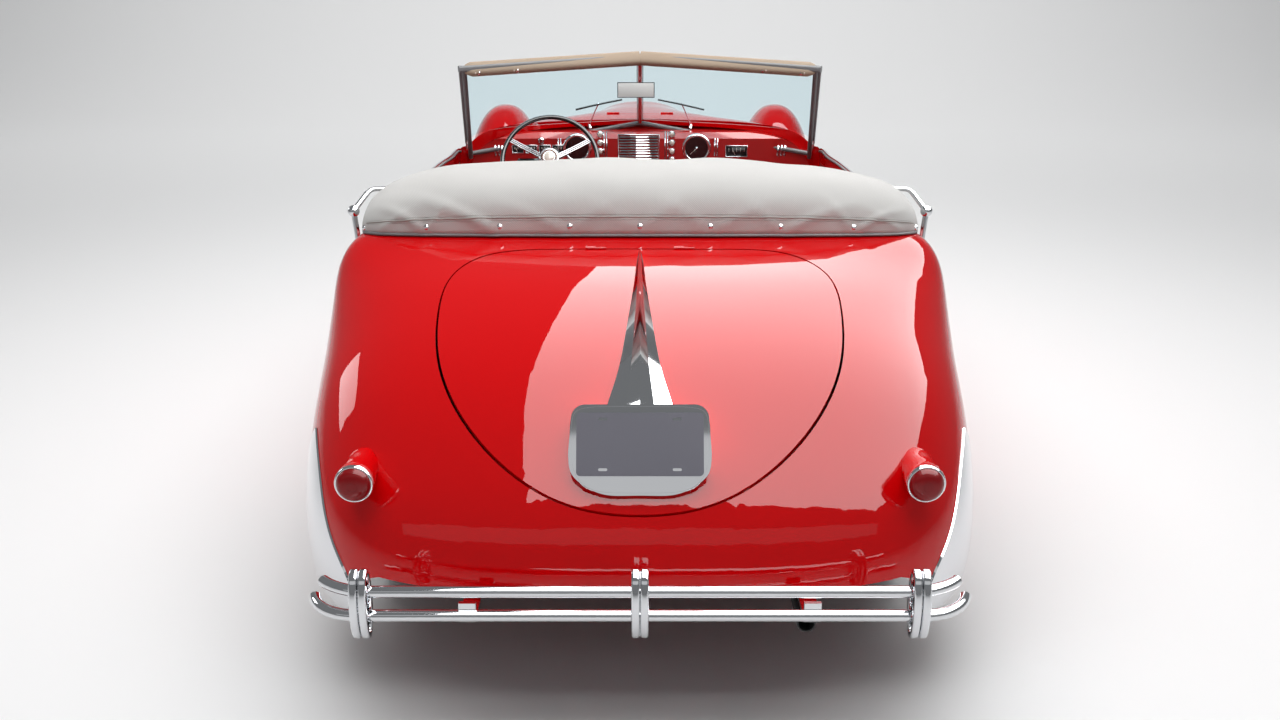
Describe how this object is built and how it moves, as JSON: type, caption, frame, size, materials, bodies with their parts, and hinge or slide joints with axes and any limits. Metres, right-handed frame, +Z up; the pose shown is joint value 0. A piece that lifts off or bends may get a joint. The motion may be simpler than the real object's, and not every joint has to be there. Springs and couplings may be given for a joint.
{
  "type": "classic luxury drophead coupe car",
  "caption": "Late-1930s coachbuilt two-door open car with folded hood, vee windscreen, long bonnet, smooth envelope tail and tubular bumpers.",
  "frame": {"origin": "on the ground under the middle of the car", "axes": "+Y forwards, +X to the car right side, +Z up"},
  "size_m": [1.868, 5.1198, 1.4726],
  "materials": {
    "paint": "deep gloss enamel",
    "interior_paint": "gloss enamel on the dash",
    "chrome": "polished plate",
    "steel": "black-painted chassis steel",
    "iron": "painted iron",
    "tyre": "ribbed rubber",
    "wheel_paint": "gloss enamel",
    "canvas": "light grey canvas",
    "leather": "grained hide",
    "carpet": "wool carpet over steel",
    "glass": "clear, faint blue",
    "lens_red": "ribbed red lens",
    "lens_clear": "fluted clear lens",
    "mirror": "silvered",
    "black": "black",
    "plate": "flat grey enamel, blank"
  },
  "bodies": {
    "root": {"body_tub": "paint", "wing_left": "paint", "wing_right": "paint", "front_apron": "paint", "grille": "chrome", "headlamps": "chrome", "headlamp_lenses": "lens_clear", "windscreen_frame": "chrome", "windscreen_glass": "glass", "mirror": "mirror", "dashboard": "interior_paint", "dash_dials": "black", "steering_column": "chrome", "front_seat_base": "steel", "front_bench": "leather", "rear_bench": "leather", "hood_stack": "canvas", "hood_irons": "chrome", "tail_lamp_housings": "paint", "tail_lamp_lenses": "lens_red", "wing_guards": "chrome", "rear_bumper": "chrome", "front_bumper": "chrome", "front_axle": "iron", "rear_axle": "iron", "chassis": "steel", "floor": "carpet", "rear_arch_liners": "steel", "engine_block": "iron", "exhaust": "steel"},
    "door_left": {"door_left": "paint"},
    "door_right": {"door_right": "paint"},
    "boot_lid": {"boot_lid": "paint", "plate_housing": "chrome", "number_plate": "plate", "boot_spear": "chrome"},
    "bonnet": {"bonnet": "paint"},
    "steering_wheel": {"steering_wheel": "black"},
    "knuckle_left": {"knuckle_left": "iron"},
    "knuckle_right": {"knuckle_right": "iron"},
    "wheel_front_left": {"tyre_front_left": "tyre", "wheel_front_left": "wheel_paint"},
    "wheel_front_right": {"tyre_front_right": "tyre", "wheel_front_right": "wheel_paint"},
    "wheel_rear_left": {"tyre_rear_left": "tyre", "wheel_rear_left": "wheel_paint"},
    "wheel_rear_right": {"tyre_rear_right": "tyre", "wheel_rear_right": "wheel_paint"}
  },
  "joints": [
    {"name": "door_left_hinge", "type": "hinge", "parent": "root", "child": "door_left", "pos_m": [-0.868, 0.693, 0.6], "axis": [0, 0, -1], "range_deg": [0, 62]},
    {"name": "door_right_hinge", "type": "hinge", "parent": "root", "child": "door_right", "pos_m": [0.868, 0.693, 0.6], "axis": [0, 0, 1], "range_deg": [0, 62]},
    {"name": "boot_lid_hinge", "type": "hinge", "parent": "root", "child": "boot_lid", "pos_m": [0, -1.5015, 1.0333], "axis": [-1, 0, 0], "range_deg": [0, 65]},
    {"name": "bonnet_hinge", "type": "hinge", "parent": "root", "child": "bonnet", "pos_m": [0, 1.01275, 1.1636], "axis": [1, 0, 0], "range_deg": [0, 55]},
    {"name": "steer_left", "type": "hinge", "parent": "root", "child": "knuckle_left", "pos_m": [-0.65, 1.77, 0.36], "axis": [0, 0, 1], "range_deg": [-29, 29]},
    {"name": "steer_right", "type": "hinge", "parent": "root", "child": "knuckle_right", "pos_m": [0.65, 1.77, 0.36], "axis": [0, 0, 1], "range_deg": [-29.5, 29.5]},
    {"name": "steering_wheel_turn", "type": "hinge", "parent": "root", "child": "steering_wheel", "pos_m": [-0.389, 0.3, 1.03], "axis": [0, -0.866, 0.5], "range_deg": [-466, 466]},
    {"name": "roll_front_left", "type": "hinge", "parent": "knuckle_left", "child": "wheel_front_left", "pos_m": [-0.735, 1.77, 0.36], "axis": [1, 0, 0], "continuous": true},
    {"name": "roll_front_right", "type": "hinge", "parent": "knuckle_right", "child": "wheel_front_right", "pos_m": [0.735, 1.77, 0.36], "axis": [1, 0, 0], "continuous": true},
    {"name": "roll_rear_left", "type": "hinge", "parent": "root", "child": "wheel_rear_left", "pos_m": [-0.735, -1.38, 0.36], "axis": [1, 0, 0], "continuous": true},
    {"name": "roll_rear_right", "type": "hinge", "parent": "root", "child": "wheel_rear_right", "pos_m": [0.735, -1.38, 0.36], "axis": [1, 0, 0], "continuous": true}
  ],
  "couplings": [
    {"joint": "steer_right", "follows": "steer_left", "ratio": 1},
    {"joint": "steering_wheel_turn", "follows": "steer_left", "ratio": 16}
  ]
}
